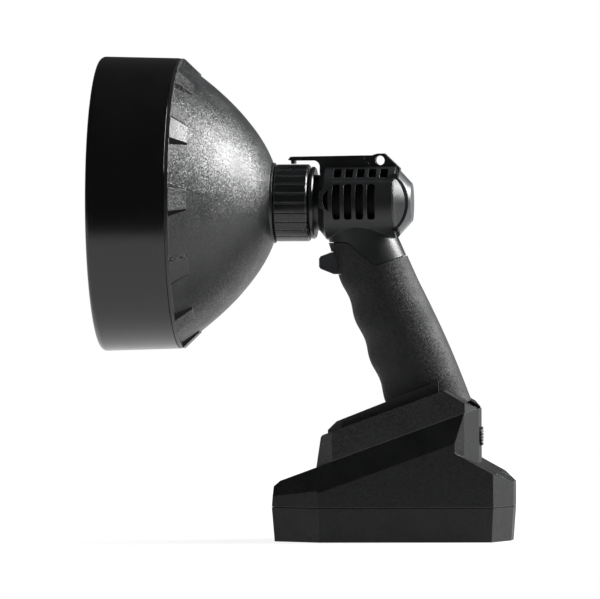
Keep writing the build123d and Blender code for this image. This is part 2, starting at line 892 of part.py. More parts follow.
# Top spine, rear half: the upright ear with the lanyard hole
ear_half_width = 4.5
ear_top_height = 29.9
ear_flat_front_x = -9.4
ear_flat_rear_x = -5.1
ear_front_rise_x = -12.8
ear_tail_x = 4.4
ear_tail_height = 20.8
lanyard_hole_x = -7.7
lanyard_hole_radius = 2.9
lanyard_hole_height = barrel_radius + lanyard_hole_radius + clear_gap
spine_split_gap = 0.2

with BuildPart() as lanyard_ear:
    with BuildSketch(head_plane):
        Polygon(
            (spine_joint_x + spine_joint_lean + spine_split_gap, barrel_nose_radius),
            (spine_joint_x + spine_joint_lean + spine_split_gap, arm_top_height - spine_joint_drop),
            (spine_joint_x + spine_split_gap, arm_top_height + spine_rise),
            (ear_front_rise_x, arm_top_height + spine_rise),
            (ear_flat_front_x, ear_top_height),
            (ear_flat_rear_x, ear_top_height),
            (ear_tail_x, ear_tail_height),
            (ear_tail_x, barrel_nose_radius),
            align=None,
        )
        with Locations((lanyard_hole_x, lanyard_hole_height)):
            Circle(lanyard_hole_radius, mode=Mode.SUBTRACT)
    extrude(amount=ear_half_width, both=True)
    cut(barrel_body)
save(lanyard_ear, "lanyard_ear")

# Rear cap: closes the barrel behind the bulb, with a curved rubber seal in front of it
with BuildPart() as rear_cap:
    add(barrel_body)
    cut(cap_front_zone(cap_seal_width))
    cut(barrel_form(barrel_wall))
save(rear_cap, "rear_cap")

with BuildPart() as cap_seal:
    add(barrel_body)
    cut(cap_front_zone(0))
    keep_within(cap_front_zone(cap_seal_width))
    cut(barrel_form(barrel_wall))
    cut(throat.part)
save(cap_seal, "cap_seal")

# Cap lugs: four small catches at the ends of the seal that hold the cap
lug_length = 3.6
lug_height = 2.6
lug_reach = 1.4
lug_x = cap_arc_x + math.sqrt(cap_arc_radius**2 - cap_arc_half_height**2)
lug_base_y = math.sqrt(barrel_radius**2 - (cap_arc_half_height + lug_height) ** 2)

with BuildPart() as cap_lugs:
    for side in (-1, 1):
        for level in (-1, 1):
            lug_middle = head_axis_height + level * (cap_arc_half_height + lug_height / 2)
            with Locations((lug_x, side * lug_base_y, lug_middle)):
                Box(lug_length, 2 * (lug_reach + lug_height / 2), lug_height)
    cut(barrel_body)
save(cap_lugs, "cap_lugs")

# Vent liner: the dark heat shield behind the vents, on the rear of the neck sleeve
with BuildPart() as vent_liner:
    add(turned_ring(liner_front_x, liner_rear_x, liner_outer_radius, liner_inner_radius))
save(vent_liner, "vent_liner")

# Terminal block: plugs onto the bulb's leads inside the rear of the bulb tube
terminal_length = 9.0
terminal_front_x = -27.0
with BuildPart() as terminal_block:
    add(turned_ring(terminal_front_x, terminal_front_x + terminal_length, tube_inner_radius - clear_gap, 0))
save(terminal_block, "terminal_block")

# Trigger: slides straight back through the window in the grip, with a flange inside the handle
trigger_nose_x = -44.0
trigger_nose_top_share = 0.82
trigger_face_top_share = 0.71
trigger_face_bottom_share = 0.34
trigger_nose_bottom_share = 0.24
trigger_top_root_x = -37.4
trigger_bottom_root_x = -36.0
trigger_flange_front_x = -22.6
trigger_flange_thickness = 2.0
trigger_flange_half_width = 7.9
trigger_flange_lip = 1.8
trigger_rear_x = trigger_flange_front_x + trigger_flange_thickness

with BuildPart() as trigger:
    with BuildSketch(Plane.XZ):
        Polygon(
            (trigger_top_root_x, trigger_top_height),
            (trigger_nose_x, trigger_bottom_height + trigger_nose_top_share * trigger_body_height),
            (trigger_front_x, trigger_bottom_height + trigger_face_top_share * trigger_body_height),
            (trigger_front_x, trigger_bottom_height + trigger_face_bottom_share * trigger_body_height),
            (trigger_nose_x, trigger_bottom_height + trigger_nose_bottom_share * trigger_body_height),
            (trigger_bottom_root_x, trigger_bottom_height),
            (trigger_flange_front_x, trigger_bottom_height),
            (trigger_flange_front_x, trigger_top_height),
            align=None,
        )
    extrude(amount=trigger_half_width, both=True)
    with Locations((trigger_flange_front_x, 0, trigger_middle)):
        Box(
            trigger_flange_thickness,
            2 * trigger_flange_half_width,
            trigger_body_height + 2 * trigger_flange_lip,
            align=(Align.MIN, Align.CENTER, Align.CENTER),
        )
save(trigger, "trigger")

# Switch behind the trigger, held on a cross pin of the shells, with its plunger and the return spring
switch_front_x = -13.0
switch_length = 10.0
switch_half_width = 6.0
switch_height = 11.0
plunger_radius = 2.0
plunger_front_x = trigger_rear_x + trigger_travel + clear_gap
spring_wire = 1.0
spring_outer_radius = 4.6
spring_inner_radius = spring_outer_radius - spring_wire
spring_rear_x = switch_front_x - trigger_travel - clear_gap


def x_tube(rear_x, front_x, middle, outer_radius, inner_radius):
    """A ring or rod along X whose middle height is given."""
    with BuildPart() as tube:
        with BuildSketch(cross_plane(front_x, middle)):
            Circle(outer_radius)
            if inner_radius > 0:
                Circle(inner_radius, mode=Mode.SUBTRACT)
        extrude(amount=rear_x - front_x)
    return tube.part


with BuildPart() as switch_body:
    with Locations((switch_front_x, 0, switch_pin_place[1])):
        Box(
            switch_length,
            2 * switch_half_width,
            switch_height,
            align=(Align.MIN, Align.CENTER, Align.CENTER),
        )
    cut(cross_pins([switch_pin_place], switch_pin_radius + running_gap, zone_width))
save(switch_body, "switch_body")

with BuildPart() as switch_plunger:
    add(x_tube(switch_front_x, plunger_front_x, trigger_middle, plunger_radius, 0))
save(switch_plunger, "switch_plunger")

with BuildPart() as trigger_spring:
    add(x_tube(spring_rear_x, trigger_rear_x, trigger_middle, spring_outer_radius, spring_inner_radius))
save(trigger_spring, "trigger_spring")

# Insulated leads inside the body: lamp to switch, and switch to the shoe's contacts
lead_radius = 1.3
lead_bend = 6.0
lamp_lead_half_gap = 4.0
lamp_lead_drop_x = -5.0
supply_lead_half_gap = 3.0
supply_lead_bend_height = 118.0
wire_hole_top_w = 36.0


def deck_point(u, v, w):
    """A place given along, across and above the sliding deck."""
    return (u * deck_cos - w * deck_sin, v, deck_height + u * deck_sin + w * deck_cos)


def lead(points):
    """A round insulated lead through given places, with even bends."""
    with BuildPart() as wire:
        with BuildLine() as path:
            FilletPolyline(*points, radius=lead_bend)
        with BuildSketch(Plane(origin=path.line @ 0, z_dir=path.line % 0)):
            Circle(lead_radius)
        sweep()
    return wire.part


with BuildPart() as bulb_leads:
    for side in (-1, 1):
        with BuildSketch(cross_plane(tube_front_x + bulb_base_length)):
            with Locations((side * lamp_lead_half_gap, 0)):
                Circle(lead_radius)
        extrude(amount=terminal_front_x - tube_front_x - bulb_base_length)
save(bulb_leads, "bulb_leads")

with BuildPart() as lamp_leads:
    for side in (-1, 1):
        lead_y = side * lamp_lead_half_gap
        add(
            lead(
                [
                    (terminal_front_x + terminal_length, lead_y, head_axis_height),
                    (lamp_lead_drop_x, lead_y, head_axis_height),
                    (lamp_lead_drop_x, lead_y, switch_pin_place[1] + switch_height / 2),
                ]
            )
        )
save(lamp_leads, "lamp_leads")

with BuildPart() as supply_leads:
    for side in (-1, 1):
        lead_y = side * supply_lead_half_gap
        lead_path = [(switch_pin_place[0], lead_y, switch_pin_place[1] - switch_height / 2)]
        lead_path.append((switch_pin_place[0], lead_y, switch_pin_place[1] - 2 * switch_height))
        bend_x = (grip_front(supply_lead_bend_height) + grip_back(supply_lead_bend_height)) / 2
        lead_path.append((bend_x, lead_y, supply_lead_bend_height))
        lead_path.append(deck_point(wire_hole_u, lead_y, wire_hole_top_w))
        lead_path.append(deck_point(wire_hole_u, lead_y, channel_height))
        add(lead(lead_path))
save(supply_leads, "supply_leads")

# Foot tier: the stepped plinth between the grip and the shoe
tier_front_half_width = 22.0
tier_corner_x = -30.0
tier_corner_half_width = 25.0
tier_rear_half_width = 20.0
with BuildPart() as tier_plan:
    with BuildSketch(Plane.XY):
        Polygon(
            (shoe_bevel_x, -tier_front_half_width),
            (tier_corner_x, -tier_corner_half_width),
            (tier_rear_x, -tier_rear_half_width),
            (tier_rear_x, tier_rear_half_width),
            (tier_corner_x, tier_corner_half_width),
            (shoe_bevel_x, tier_front_half_width),
            align=None,
        )
    extrude(amount=head_axis_height)

with BuildPart() as foot_tier:
    add(side_zone(tier_line))
    keep_within(tier_plan.part)
    cut(wire_hole.part)
    cut(shoe_screw_holes.part)
save(foot_tier, "foot_tier")

# Shoe: the wedge-shaped foot that the battery slides onto, with a T-shaped channel below
slide_gap = 0.1
shoe_half_width = 36.0
shoe_nose_half_width = 24.0
shoe_corner_x = -35.0
shoe_rear_corner_x = 46.4
shoe_tail_x = 52.5
shoe_tail_half_width = 10.0
shoe_nose_round = 3.0
rail_front_u = -38.0
rail_rear_u = 28.0
rail_half_width = 15.0
rail_stem_half_width = 11.0
rail_flange_low = 2.8
channel_gap = 0.4
screw_head_radius = 2.8
screw_head_thickness = 2.0


def deck_box(front_u, rear_u, half_width, low_w, high_w):
    """A block aligned with the sliding deck."""
    with BuildPart() as block:
        with BuildSketch(deck_plane.offset(low_w)):
            with Locations(((front_u + rear_u) / 2, 0)):
                Rectangle(rear_u - front_u, 2 * half_width)
        extrude(amount=high_w - low_w)
    return block.part


def deck_pins(places, radius, low_w, high_w):
    """Round pins standing on the sliding deck at given places."""
    with BuildPart() as pins:
        with BuildSketch(deck_plane.offset(low_w)):
            with Locations(*places):
                Circle(radius)
        extrude(amount=high_w - low_w)
    return pins.part


with BuildPart() as shoe_plan:
    with BuildSketch(Plane.XY):
        Polygon(
            (shoe_front_x, -shoe_nose_half_width),
            (shoe_corner_x, -shoe_half_width),
            (shoe_rear_corner_x, -shoe_half_width),
            (shoe_tail_x, -shoe_tail_half_width),
            (shoe_tail_x, shoe_tail_half_width),
            (shoe_rear_corner_x, shoe_half_width),
            (shoe_corner_x, shoe_half_width),
            (shoe_front_x, shoe_nose_half_width),
            align=None,
        )
    extrude(amount=head_axis_height)

shoe_nose = (shoe_front_top_x, deck_top(shoe_front_top_x) + shoe_rise)
with BuildPart() as shoe:
    with BuildSketch(Plane.XZ):
        Polygon(
            (shoe_front_x, deck_top(shoe_front_x) + slide_gap),
            shoe_nose,
            shoe_top_line[1],
            shoe_top_line[2],
            (shoe_rear_x, deck_top(shoe_rear_x) + slide_gap),
            align=None,
        )
        fillet(vertices().sort_by_distance(shoe_nose)[0], radius=shoe_nose_round)
    extrude(amount=shoe_half_width, both=True)
    keep_within(shoe_plan.part)
    channel_front_u = rail_front_u - channel_gap
    stem_channel = rail_stem_half_width + channel_gap
    cut(deck_box(channel_front_u, zone_width, stem_channel, -overrun, channel_height))
    flange_channel = rail_half_width + channel_gap
    flange_channel_low = rail_flange_low - channel_gap
    cut(deck_box(channel_front_u, zone_width, flange_channel, flange_channel_low, channel_height))
    cut(wire_hole.part)
    cut(shoe_screw_holes.part)
    head_top = channel_height + screw_head_thickness + clear_gap
    cut(deck_pins(shoe_screw_places, screw_head_radius + clear_gap, channel_height, head_top))
save(shoe, "shoe")

with BuildPart() as shoe_screws:
    head_low = channel_height + clear_gap
    add(deck_pins(shoe_screw_places, screw_head_radius, head_low, head_top))
    add(deck_pins(shoe_screw_places, shoe_screw_radius - running_gap, head_low, shoe_screw_reach))
save(shoe_screws, "shoe_screws")

# Contacts: fixed strips in the shoe's channel above matching strips on the battery's rail
contact_front_u = -8.0
contact_rear_u = 21.0
contact_middle_v = 4.0
contact_half_width = 2.4
contact_pin_u = 2.0
contact_pin_radius = 1.2
contact_pin_depth = 6.0
contact_pin_places = [(contact_pin_u, contact_middle_v), (contact_pin_u, -contact_middle_v)]


def contact_strips(low_w, high_w):
    """Two flat contact strips side by side along the deck."""
    with BuildPart() as strips:
        with BuildSketch(deck_plane.offset(low_w)):
            contact_middle_u = (contact_front_u + contact_rear_u) / 2
            with Locations((contact_middle_u, contact_middle_v), (contact_middle_u, -contact_middle_v)):
                Rectangle(contact_rear_u - contact_front_u, 2 * contact_half_width)
        extrude(amount=high_w - low_w)
    return strips.part


with BuildPart() as shoe_contacts:
    add(contact_strips(channel_height - contact_thickness, channel_height))
save(shoe_contacts, "shoe_contacts")

with BuildPart() as battery_contacts:
    add(contact_strips(rail_height, rail_height + contact_thickness))
    add(deck_pins(contact_pin_places, contact_pin_radius, -contact_pin_depth, rail_height))
save(battery_contacts, "battery_contacts")

# Battery case form: a low base, a taller column under the shoe, and sloping shoulders
plan_front_half_width = 19.0
plan_front_corner_x = -43.0
plan_rear_corner_x = 64.0
plan_rear_half_width = 9.0
front_bevel_x = -72.4
front_bevel_height = 33.6
front_deck_x = -68.3
shelf_x = 41.0
shelf_height = 54.0
shelf_angle = 29.0
shelf_cos = math.cos(math.radians(shelf_angle))
shelf_fall = math.tan(math.radians(shelf_angle))
column_corner_x = 40.6
column_edge_x = 46.0
column_rear_x = 52.5
column_rear_half_width = 10.0
shoulder_half_width = 36.0
shoulder_drop = 16.3
front_shoulder_corner = (-42.0, 36.0, 46.5)
front_shoulder_nose = (-71.0, 17.0, 36.5)
front_shoulder_foot = (-44.0, 42.0, 29.6)
front_shoulder_points = [front_shoulder_corner, front_shoulder_nose, front_shoulder_foot]
case_wall = 2.6
base_half_length = base_length / 2
base_half_width = base_width / 2
shoulder_slope = (base_half_width - shoulder_half_width) / (shoulder_drop * deck_cos)


def plan_outline(points, inset):
    """An outline seen from above, drawn in by an inset; the points give its near half."""
    with BuildSketch(Plane.XY) as outline:
        Polygon(*points, *[(x, -y) for x, y in reversed(points)], align=None)
        if inset != 0:
            offset(amount=-inset, kind=Kind.INTERSECTION, mode=Mode.REPLACE)
    return outline.sketch


def plan_prism(points, inset, low, high):
    """An upright prism over an outline seen from above, drawn in by an inset."""
    with BuildPart() as prism:
        with BuildSketch(Plane.XY.offset(low)):
            add(plan_outline(points, inset))
        extrude(amount=high - low)
    return prism.part


base_plan = [
    (-base_half_length, -plan_front_half_width),
    (plan_front_corner_x, -base_half_width),
    (plan_rear_corner_x, -base_half_width),
    (base_half_length, -plan_rear_half_width),
]
column_plan = [
    (0, -base_half_width),
    (column_corner_x, -base_half_width),
    (column_edge_x, -shoulder_half_width),
    (column_rear_x, -column_rear_half_width),
]


def battery_form(inset):
    """The upper case's outer form, drawn in by an inset all round."""
    front_profile = [
        (-base_half_length + inset, 0),
        (-base_half_length + inset, base_seam_height),
        (front_bevel_x + inset, front_bevel_height),
        (front_deck_x + inset, deck_top(front_deck_x) - inset / deck_cos),
    ]
    under_deck = side_zone(
        front_profile
        + [
            (zone_width, deck_top(zone_width) - inset / deck_cos),
            (zone_width, 0),
        ]
    )
    under_shelf = side_zone(
        [
            (-zone_width, 0),
            (-zone_width, shelf_height + shelf_fall * (shelf_x + zone_width) - inset / shelf_cos),
            (zone_width, shelf_height + shelf_fall * (shelf_x - zone_width) - inset / shelf_cos),
            (zone_width, 0),
        ]
    )
    with BuildPart() as shoulders:
        with BuildSketch(Plane(origin=(0, 0, deck_height), x_dir=(0, 1, 0), z_dir=(deck_cos, 0, deck_sin))):
            narrowing = inset * (math.hypot(1, shoulder_slope) - shoulder_slope)
            top_half_width = shoulder_half_width - narrowing
            low_half_width = top_half_width + shoulder_slope * (zone_width - inset)
            Polygon(
                (-top_half_width, -inset),
                (top_half_width, -inset),
                (low_half_width, -zone_width),
                (-low_half_width, -zone_width),
                align=None,
            )
        extrude(amount=zone_width, both=True)
    with BuildPart() as form:
        add(plan_prism(base_plan, inset, 0, 2 * deck_height))
        keep_within(under_shelf)
        add(plan_prism(column_plan, inset, 0, 2 * deck_height))
        keep_within(under_deck)
        keep_within(shoulders.part)
        for side in (-1, 1):
            corner, nose, foot = [Vector(x, side * y, z) for x, y, z in front_shoulder_points]
            shoulder_normal = (nose - corner).cross(foot - corner) * -side
            split(bisect_by=Plane(origin=corner, z_dir=shoulder_normal).offset(-inset), keep=Keep.BOTTOM)
    return form.part


# Battery upper case: the sloping top with the T-shaped rail, a tongue round its lower edge, and bosses
case_seam_gap = 0.4
tongue_thickness = 1.2
tongue_depth = 3.0
bottom_taper = 1.6
case_front_screw = (-58.0, 18.0)
case_rear_screw = (61.0, 30.0)
case_screw_places = []
for screw_x, screw_y in (case_front_screw, case_rear_screw):
    for side in (-1, 1):
        case_screw_places.append((screw_x, side * screw_y))
case_boss_radius = 4.0
case_screw_radius = 1.5
case_screw_top = 29.0
button_height = 63.5
button_radius = 5.7
button_flange_radius = 7.2
button_proud = 1.7
button_flange_thickness = 2.0
button_spring_radius = 4.4
button_spring_length = 5.0
button_rib_thickness = 2.2
button_inner_x = column_rear_x - case_wall - clear_gap - button_flange_thickness
button_rib_x = button_inner_x - button_spring_length - button_travel - clear_gap


def round_posts(places, radius, low, high):
    """Upright round posts at given places."""
    with BuildPart() as posts:
        with BuildSketch(Plane.XY.offset(low)):
            with Locations(*places):
                Circle(radius)
        extrude(amount=high - low)
    return posts.part


tongue_outer_inset = case_wall - tongue_thickness
upper_start = base_seam_height + case_seam_gap
outer_case = battery_form(0)

with BuildPart() as case_ribs:
    add(round_posts(case_screw_places, case_boss_radius, upper_start, deck_height))
    with Locations((button_rib_x, 0, button_height - button_flange_radius)):
        Box(
            button_rib_thickness,
            2 * button_flange_radius,
            deck_height,
            align=(Align.MAX, Align.CENTER, Align.MIN),
        )
    keep_within(outer_case)

with BuildPart() as battery_upper_case:
    add(outer_case)
    cut(plan_prism(base_plan, -overrun, 0, upper_start))
    add(plan_prism(base_plan, tongue_outer_inset, base_seam_height - tongue_depth, upper_start))
    cut(battery_form(case_wall))
    add(case_ribs.part)
    add(deck_box(rail_front_u, rail_rear_u, rail_stem_half_width, -case_wall / 2, rail_height))
    add(deck_box(rail_front_u, rail_rear_u, rail_half_width, rail_flange_low, rail_height))
    cut(deck_pins(contact_pin_places, contact_pin_radius + running_gap, -zone_width / 4, zone_width))
    cut(round_posts(case_screw_places, case_screw_radius, 0, case_screw_top + clear_gap))
    button_hole_radius = button_radius + clear_gap
    button_hole_front_x = column_rear_x - case_wall - overrun
    cut(x_tube(column_rear_x + overrun, button_hole_front_x, button_height, button_hole_radius, 0))
save(battery_upper_case, "battery_upper_case")

# Battery lower case: a tapered tray with a grooved rim, bosses and sunk screws
screw_recess_depth = 3.0
groove_low = base_seam_height - tongue_depth - clear_gap
with BuildPart() as rim_groove:
    add(plan_prism(base_plan, tongue_outer_inset - clear_gap, groove_low, upper_start))
    cut(plan_prism(base_plan, case_wall + clear_gap, 0, upper_start + overrun))

with BuildPart() as battery_lower_case:
    with BuildSketch(Plane.XY):
        add(plan_outline(base_plan, bottom_taper))
    with BuildSketch(Plane.XY.offset(base_seam_height)):
        add(plan_outline(base_plan, 0))
    loft()
    cut(plan_prism(base_plan, case_wall + bottom_taper, case_wall, base_seam_height + overrun))
    add(round_posts(case_screw_places, case_boss_radius, case_wall, base_seam_height))
    cut(rim_groove.part)
    cut(round_posts(case_screw_places, case_screw_radius, 0, base_seam_height + overrun))
    cut(round_posts(case_screw_places, screw_head_radius + clear_gap, 0, screw_recess_depth))
save(battery_lower_case, "battery_lower_case")

with BuildPart() as case_screws:
    head_start = screw_recess_depth - screw_head_thickness
    add(round_posts(case_screw_places, screw_head_radius, head_start, screw_recess_depth))
    add(round_posts(case_screw_places, case_screw_radius - running_gap, screw_recess_depth, case_screw_top))
save(case_screws, "case_screws")

# Battery inside: two layers of round cells, their end straps, a board and its leads
cell_radius = 9.2
cell_length = 65.0
cell_pitch = 2 * cell_radius + clear_gap
cell_layer_rise = 16.3
lower_cell_count = 5
upper_cell_count = 3
first_cell_x = -36.0
lower_cell_height = case_wall + clear_gap + cell_radius
strap_thickness = 0.4
strap_half_height = 3.0
board_front_x = 21.0
board_rear_x = 55.0
board_half_width = 28.0
board_thickness = 1.6
board_low = lower_cell_height + cell_radius + clear_gap
upper_cell_height = lower_cell_height + cell_layer_rise
cell_places = []
for number in range(lower_cell_count):
    cell_places.append((first_cell_x + cell_pitch * number, lower_cell_height))
for number in range(upper_cell_count):
    cell_places.append((first_cell_x + cell_pitch * (number + 1 / 2), upper_cell_height))

with BuildPart() as battery_cells:
    add(cross_pins(cell_places, cell_radius, cell_length / 2))
save(battery_cells, "battery_cells")

with BuildPart() as cell_straps:
    for side in (-1, 1):
        for layer_height, first_x, count in (
            (lower_cell_height, first_cell_x, lower_cell_count),
            (upper_cell_height, first_cell_x + cell_pitch / 2, upper_cell_count),
        ):
            strap_y = side * (cell_length + strap_thickness) / 2
            with Locations((first_x + cell_pitch * (count - 1) / 2, strap_y, layer_height)):
                Box(cell_pitch * (count - 1) + cell_radius, strap_thickness, 2 * strap_half_height)
save(cell_straps, "cell_straps")

with BuildPart() as protection_board:
    with Locations(((board_front_x + board_rear_x) / 2, 0, board_low + board_thickness / 2)):
        Box(board_rear_x - board_front_x, 2 * board_half_width, board_thickness)
save(protection_board, "protection_board")

pack_lead_x = 30.0
pack_lead_turn_depth = 18.0
with BuildPart() as pack_leads:
    for side in (-1, 1):
        lead_y = side * contact_middle_v
        lead_turn = deck_point(contact_pin_u, lead_y, -pack_lead_turn_depth)
        add(
            lead(
                [
                    deck_point(contact_pin_u, lead_y, -contact_pin_depth),
                    lead_turn,
                    (pack_lead_x, lead_y, lead_turn[2]),
                    (pack_lead_x, lead_y, board_low + board_thickness),
                ]
            )
        )
save(pack_leads, "pack_leads")

# Release button: a ribbed round key on the column's rear face, with the spring behind it
button_rib_count = 5
button_rib_depth = 0.5
button_rib_width = 0.9
button_face_x = column_rear_x + button_proud
with BuildPart() as release_button:
    add(x_tube(button_face_x, button_inner_x, button_height, button_radius, 0))
    flange_face_x = button_inner_x + button_flange_thickness
    add(x_tube(flange_face_x, button_inner_x, button_height, button_flange_radius, 0))
    for number in range(button_rib_count):
        rib_offset = (number - (button_rib_count - 1) / 2) * 2 * button_rib_width
        with Locations((button_face_x, 0, button_height + rib_offset)):
            Box(2 * button_rib_depth, 2 * button_radius, button_rib_width, mode=Mode.SUBTRACT)
save(release_button, "release_button")

with BuildPart() as button_spring:
    spring_front_x = button_inner_x - button_spring_length
    spring_bore = button_spring_radius - spring_wire
    add(x_tube(button_inner_x, spring_front_x, button_height, button_spring_radius, spring_bore))
save(button_spring, "button_spring")
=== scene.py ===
"""Handheld searchlight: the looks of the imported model, set up as a studio picture."""
import math

import bmesh
import bpy
from mathutils import Matrix, Vector


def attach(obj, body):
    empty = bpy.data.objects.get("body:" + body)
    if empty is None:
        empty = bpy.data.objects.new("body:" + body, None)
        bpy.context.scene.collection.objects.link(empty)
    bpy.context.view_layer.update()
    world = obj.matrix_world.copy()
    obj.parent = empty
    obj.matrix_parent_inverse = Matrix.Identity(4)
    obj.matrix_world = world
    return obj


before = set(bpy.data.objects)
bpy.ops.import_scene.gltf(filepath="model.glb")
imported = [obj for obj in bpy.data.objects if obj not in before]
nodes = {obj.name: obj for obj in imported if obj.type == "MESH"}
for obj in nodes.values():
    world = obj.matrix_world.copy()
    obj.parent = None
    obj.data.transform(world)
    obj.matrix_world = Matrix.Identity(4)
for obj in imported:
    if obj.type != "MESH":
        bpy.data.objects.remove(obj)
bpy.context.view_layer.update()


# Camera
# A long lens some seven metres away, nearly level with the lamp and a little behind it.
# The turn, the tilt and the slight lean of the picture are those of the photograph.
MM = 0.001
camera_turn = math.radians(6.0)
camera_tilt = math.radians(1.0)
camera_lean = math.radians(0.3)
frame_width = 366 * MM
aim_across = -57.2 * MM
aim_up = 147.1 * MM
lens_length = 700
nearest_seen, farthest_seen = 0.1, 60

camera = bpy.data.objects.new("camera", bpy.data.cameras.new("camera"))
bpy.context.scene.collection.objects.link(camera)
camera.data.lens = lens_length
camera_distance = frame_width * lens_length / camera.data.sensor_width
level_right = Vector((math.cos(camera_turn), math.sin(camera_turn), 0))
back = Vector((math.sin(camera_turn) * math.cos(camera_tilt),
               -math.cos(camera_turn) * math.cos(camera_tilt), math.sin(camera_tilt)))
level_up = back.cross(level_right)
right = level_right * math.cos(camera_lean) - level_up * math.sin(camera_lean)
up = level_right * math.sin(camera_lean) + level_up * math.cos(camera_lean)
aim = level_right * aim_across + level_up * aim_up
camera.matrix_world = Matrix.Translation(aim + back * camera_distance) @ Matrix(
    (right, up, back)).transposed().to_4x4()
camera.data.clip_start, camera.data.clip_end = nearest_seen, farthest_seen
bpy.context.scene.camera = camera


# Table and studio light
# A matt white table and three soft boxes: one behind the lamp to the right, and two weaker ones, overhead and
# in front, that fill the shadows and aren't mirrored. The camera and clear glass see white all round, while
# glossy surfaces mirror the table and, beyond it, a dim room with a pale wall at the back.
def tone(code):
    """The linear colour of an sRGB hex code."""
    parts = [int(code[place:place + 2], 16) / 255 for place in (0, 2, 4)]
    return tuple(v / 12.92 if v <= 0.04045 else ((v + 0.055) / 1.055) ** 2.4 for v in parts) + (1.0,)


def add(tree, kind, feeds=None, **settings):
    """One shader node: settings are its own, and feeds are numbers or the sockets that go into it."""
    node = tree.nodes.new("ShaderNode" + kind)
    for name, value in settings.items():
        setattr(node, name, value)
    for name, value in (feeds or {}).items():
        if isinstance(value, bpy.types.NodeSocket):
            tree.links.new(value, node.inputs[name])
        else:
            node.inputs[name].default_value = value
    return node


def new_material(name):
    material = bpy.data.materials.new(name)
    material.use_nodes = True
    material.node_tree.nodes.clear()
    return material, material.node_tree


def mesh_piece(name, fill):
    """A new object from a function that fills a bmesh, in metres in the lamp's own frame."""
    mesh = bpy.data.meshes.new(name)
    form = bmesh.new()
    fill(form)
    bmesh.ops.recalc_face_normals(form, faces=form.faces)
    form.to_mesh(mesh)
    form.free()
    piece = bpy.data.objects.new(name, mesh)
    bpy.context.scene.collection.objects.link(piece)
    return piece


table_front, table_rear, table_side = -0.50, 1.6, 1.7
shadow_share = 0.16
glow_near, glow_far = 0.2, 0.55
glow_weak, glow_strong = 1.05, 1.2


def table_top(form):
    corners = [(-table_side, table_front), (table_side, table_front),
               (table_side, table_rear), (-table_side, table_rear)]
    form.faces.new([form.verts.new((x, y, 0)) for x, y in corners])


table = mesh_piece("table", table_top)
table_paint, tree = new_material("matt_white_table")
rays = add(tree, "LightPath")
direct = add(tree, "Math", {0: rays.outputs["Is Camera Ray"], 1: rays.outputs["Is Transmission Ray"]},
             operation="MAXIMUM")
looked_at = add(tree, "Math", {0: direct.outputs[0], 1: rays.outputs["Is Glossy Ray"]}, operation="MAXIMUM")
shine = add(tree, "Math", {0: looked_at.outputs[0], 1: 1 - shadow_share}, operation="MULTIPLY")
paint = add(tree, "BsdfDiffuse", {"Color": tone("f0f0ee")})
from_lamp = add(tree, "VectorMath", {0: add(tree, "TexCoord").outputs["Object"]}, operation="LENGTH")
far_glow = add(tree, "MapRange", {"Value": from_lamp.outputs["Value"], "From Min": glow_near,
                                  "From Max": glow_far, "To Min": glow_weak, "To Max": glow_strong},
               interpolation_type="SMOOTHSTEP")
glow = add(tree, "Emission", {"Strength": far_glow.outputs[0]})
mixed = add(tree, "MixShader", {0: shine.outputs[0], 1: paint.outputs[0], 2: glow.outputs[0]})
add(tree, "OutputMaterial", {"Surface": mixed.outputs[0]})
table.data.materials.append(table_paint)

white = (1, 1, 1, 1)
dim_room, lit_wall = (0.05, 0.05, 0.05, 1), (0.42, 0.42, 0.42, 1)
wall_edge, wall_middle = 0.30, 0.85
wall_top, wall_foot = 0.20, 0.02

world = bpy.data.worlds.new("studio")
bpy.context.scene.world = world
world.use_nodes = True
tree = world.node_tree
tree.nodes.clear()
rays = add(tree, "LightPath")
facing = add(tree, "SeparateXYZ", {0: add(tree, "TexCoord").outputs["Generated"]})
wall_near = add(tree, "MapRange", {"Value": facing.outputs["Y"], "From Min": wall_edge,
                                   "From Max": wall_middle}, interpolation_type="SMOOTHSTEP")
wall_low = add(tree, "MapRange", {"Value": facing.outputs["Z"], "From Min": wall_top,
                                  "From Max": wall_foot}, interpolation_type="SMOOTHSTEP")
wall = add(tree, "Math", {0: wall_near.outputs[0], 1: wall_low.outputs[0]}, operation="MULTIPLY")
wall_seen = add(tree, "Math", {0: wall.outputs[0], 1: rays.outputs["Is Glossy Ray"]}, operation="MULTIPLY")
room = add(tree, "Mix", {0: wall_seen.outputs[0], 6: dim_room, 7: lit_wall}, data_type="RGBA")
direct = add(tree, "Math", {0: rays.outputs["Is Camera Ray"], 1: rays.outputs["Is Transmission Ray"]},
             operation="MAXIMUM")
seen = add(tree, "Mix", {0: direct.outputs[0], 6: room.outputs[2], 7: white}, data_type="RGBA")
sky = add(tree, "Background", {"Color": seen.outputs[2], "Strength": 1.0})
add(tree, "OutputWorld", {"Surface": sky.outputs[0]})


def soft_box(name, place, aim_at, width, height, power, mirrored=True):
    """A flat studio lamp that faces a point, with its power in watts. One that isn't mirrored only fills
    the shadows."""
    lamp = bpy.data.objects.new(name, bpy.data.lights.new(name, "AREA"))
    bpy.context.scene.collection.objects.link(lamp)
    lamp.data.shape = "RECTANGLE"
    lamp.data.size, lamp.data.size_y, lamp.data.energy = width, height, power
    lamp.location = place
    lamp.rotation_euler = (Vector(aim_at) - Vector(place)).to_track_quat("-Z", "Y").to_euler()
    lamp.visible_glossy = mirrored


soft_box("rear_box", (1.04, 0.23, 0.80), (-0.1, 0, 0.2), width=0.66, height=0.66, power=40)
soft_box("top_box", (-0.1, 0.15, 1.7), (-0.05, 0.1, 0), width=1.5, height=1.3, power=10, mirrored=False)
soft_box("front_box", (-0.7, -1.9, 1.1), (-0.05, 0, 0.15), width=1.2, height=1.2, power=9, mirrored=False)


